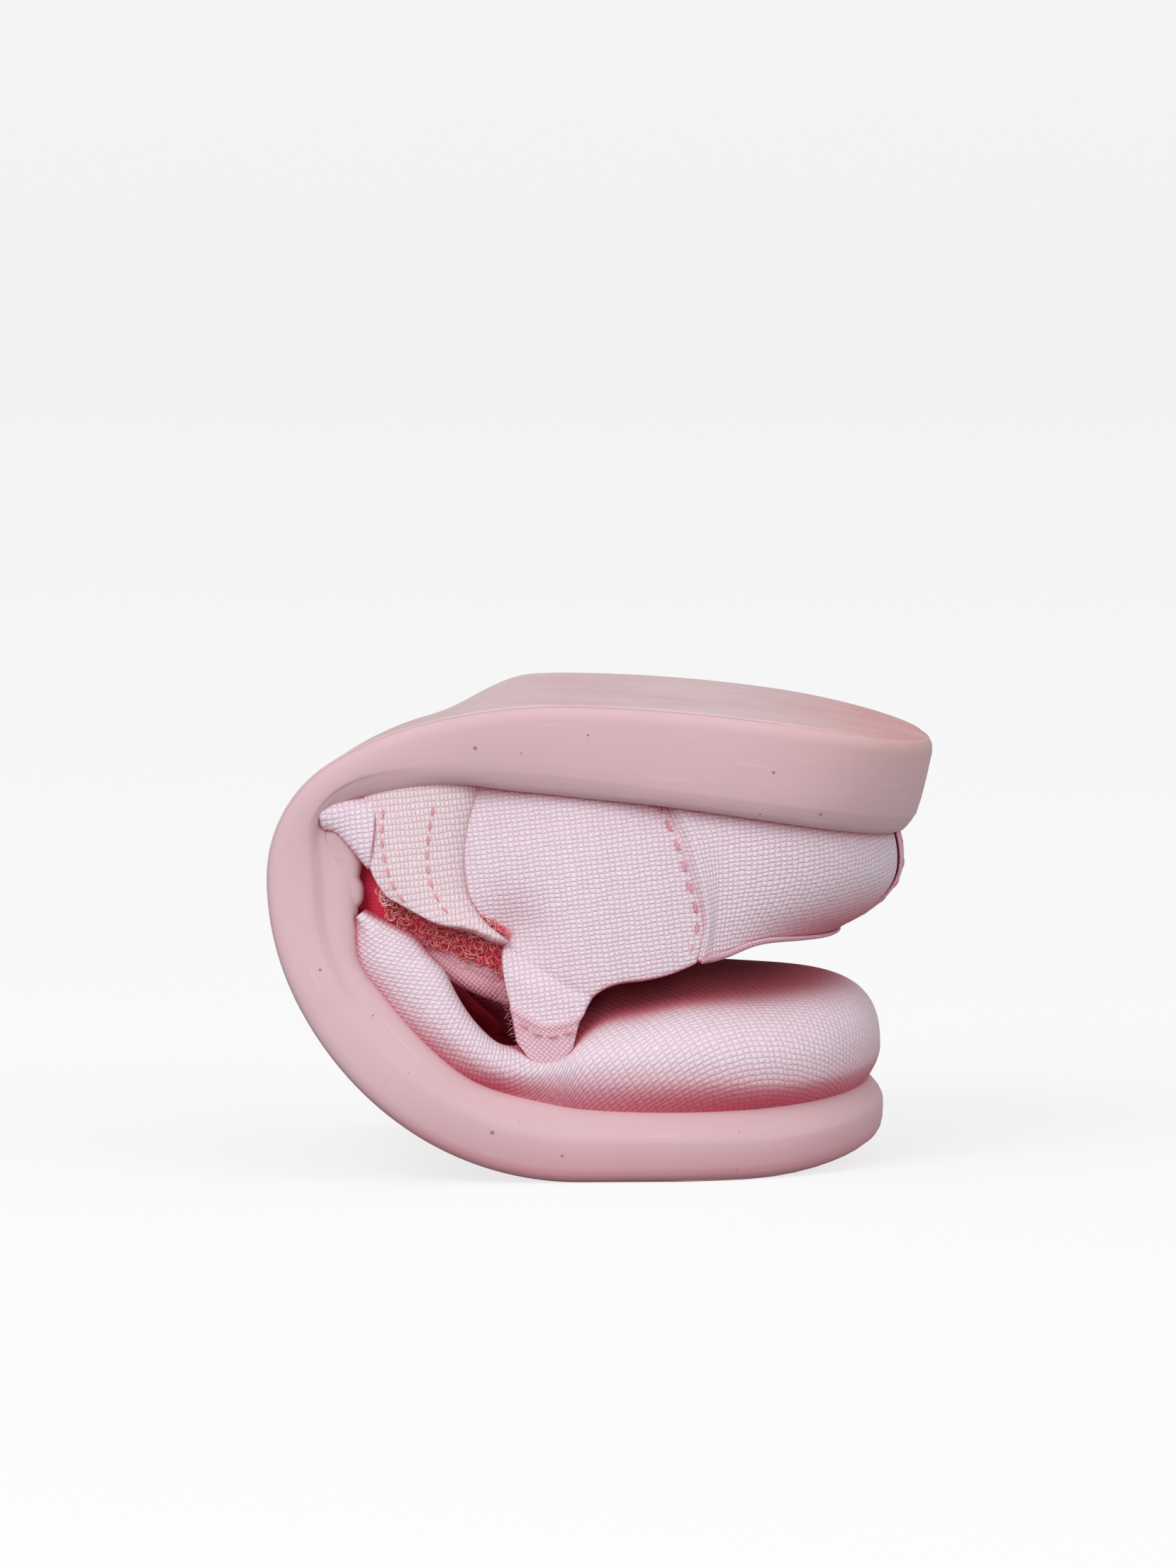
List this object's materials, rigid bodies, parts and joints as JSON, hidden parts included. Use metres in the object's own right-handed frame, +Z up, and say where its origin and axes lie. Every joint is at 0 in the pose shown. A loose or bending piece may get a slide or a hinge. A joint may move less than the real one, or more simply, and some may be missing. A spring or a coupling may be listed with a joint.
{
  "type": "rolled child's canvas shoe",
  "caption": "Soft child's canvas shoe with a flexible rubber sole, rolled heel over toe; the sole unrolls flat and the instep strap lifts.",
  "frame": {"origin": "on the surface that the shoe rests on, under the middle of its box", "axes": "+Z up; +X the way both ends of the rolled shoe point; +Y towards the side away from the strap"},
  "size_m": [0.0658, 0.058, 0.0465],
  "materials": {
    "outsole_rubber": "matt grained rubber",
    "sidewall_rubber": "matt smooth rubber",
    "midsole_foam": "soft foam",
    "insole_fabric": "cloth-faced foam",
    "canvas": "ribbed cotton canvas",
    "lining": "smooth cotton lining",
    "tape": "fine plain-weave tape",
    "webbing": "cross-ribbed webbing",
    "hook_pile": "hook fastener",
    "loop_pile": "loop fastener pile",
    "thread": "sewing thread"
  },
  "bodies": {
    "toe": {"outsole_toe": "outsole_rubber", "sidewall_toe": "sidewall_rubber", "midsole_toe": "midsole_foam", "insole_toe": "insole_fabric", "vamp": "canvas", "vamp_lining": "lining"},
    "ball": {"outsole_ball": "outsole_rubber", "sidewall_ball": "sidewall_rubber", "midsole_ball": "midsole_foam", "insole_ball": "insole_fabric", "side_canvas_ball": "canvas", "side_lining_ball": "lining"},
    "arch": {"outsole_arch": "outsole_rubber", "sidewall_arch": "sidewall_rubber", "midsole_arch": "midsole_foam", "insole_arch": "insole_fabric", "side_canvas_arch": "canvas", "side_lining_arch": "lining"},
    "waist": {"outsole_waist": "outsole_rubber", "sidewall_waist": "sidewall_rubber", "midsole_waist": "midsole_foam", "insole_waist": "insole_fabric"},
    "shank": {"outsole_shank": "outsole_rubber", "sidewall_shank": "sidewall_rubber", "midsole_shank": "midsole_foam", "insole_shank": "insole_fabric"},
    "heel": {"outsole_heel": "outsole_rubber", "sidewall_heel": "sidewall_rubber", "midsole_heel": "midsole_foam", "insole_heel": "insole_fabric", "quarter_near": "canvas", "quarter_far": "canvas", "heel_panel": "canvas", "quarter_lining": "lining", "back_tape": "tape", "topline_binding": "tape", "webbing_near": "webbing", "webbing_far": "webbing", "instep_flap": "lining", "loop_patch": "loop_pile", "flap_binding": "tape", "side_seam_stitches": "thread", "webbing_stitches": "thread", "back_tape_stitches": "thread"},
    "strap": {"strap": "canvas", "strap_tab": "tape", "hook_patch": "hook_pile", "strap_tab_stitches": "thread"}
  },
  "joints": [
    {"name": "ball_roll", "type": "hinge", "parent": "toe", "child": "ball", "pos_m": [-0.01057, 0, 0.0012], "axis": [0, -1, 0], "range_deg": [0, 32.5]},
    {"name": "arch_roll", "type": "hinge", "parent": "ball", "child": "arch", "pos_m": [-0.0248, 0, 0.01011], "axis": [0, -1, 0], "range_deg": [0, 29.01]},
    {"name": "waist_roll", "type": "hinge", "parent": "arch", "child": "waist", "pos_m": [-0.03213, 0, 0.02303], "axis": [0, -1, 0], "range_deg": [0, 28.01]},
    {"name": "shank_roll", "type": "hinge", "parent": "waist", "child": "shank", "pos_m": [-0.03136, 0, 0.03594], "axis": [0, -1, 0], "range_deg": [0, 58.01]},
    {"name": "heel_roll", "type": "hinge", "parent": "shank", "child": "heel", "pos_m": [-0.01671, 0, 0.04506], "axis": [0, -1, 0], "range_deg": [0, 38.51]},
    {"name": "strap_lift", "type": "hinge", "parent": "heel", "child": "strap", "pos_m": [-0.00589, -0.0236, 0.02225], "axis": [-1, 0, 0], "range_deg": [0, 100]}
  ],
  "couplings": [
    {"joint": "arch_roll", "follows": "ball_roll", "ratio": 0.89231},
    {"joint": "waist_roll", "follows": "ball_roll", "ratio": 0.86154},
    {"joint": "shank_roll", "follows": "ball_roll", "ratio": 1.7846},
    {"joint": "heel_roll", "follows": "ball_roll", "ratio": 1.1846}
  ]
}
